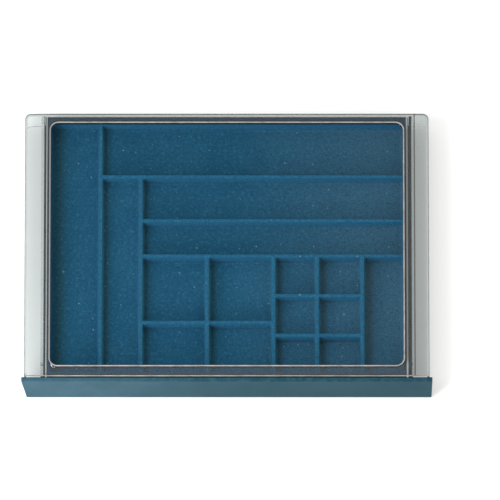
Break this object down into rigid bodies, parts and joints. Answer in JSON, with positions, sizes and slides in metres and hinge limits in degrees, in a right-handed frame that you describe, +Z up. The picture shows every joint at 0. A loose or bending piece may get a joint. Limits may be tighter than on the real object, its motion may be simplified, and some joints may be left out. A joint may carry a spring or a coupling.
{
  "type": "stackable jewelry tray",
  "caption": "Low clear case with an open top and side wings, holding a pull-out tray with a sloping front panel and a blue flocked insert divided into long and small compartments.",
  "frame": {"origin": "centre of the bounding box in plan, on the surface under the feet", "axes": "+X to the right along the front panel, +Y from the front panel to the rear, +Z up"},
  "size_m": [0.3605, 0.2546, 0.0334],
  "materials": {
    "clear_plastic": "polished clear",
    "tray_plastic": "satin",
    "blue_flocking": "short flock",
    "panel_plastic": "satin",
    "slide_strip": "waxy",
    "screw_steel": "bright"
  },
  "bodies": {
    "case": {"top_deck": "clear_plastic", "stacking_lip": "clear_plastic", "outer_skirt": "clear_plastic", "left_guide_wall": "clear_plastic", "right_guide_wall": "clear_plastic", "base_panel": "clear_plastic", "left_slide_strip": "slide_strip", "right_slide_strip": "slide_strip", "corner_feet": "clear_plastic", "stop_pins": "clear_plastic"},
    "tray": {"tray_floor": "tray_plastic", "tray_left_side": "tray_plastic", "tray_right_side": "tray_plastic", "tray_rear_wall": "tray_plastic", "tray_inner_front": "tray_plastic", "flocked_insert": "blue_flocking", "front_panel": "panel_plastic", "panel_screws": "screw_steel"}
  },
  "joints": [
    {"name": "tray_slide", "type": "slide", "parent": "case", "child": "tray", "axis": [0, -1, 0], "range_m": [0, 0.19]}
  ]
}
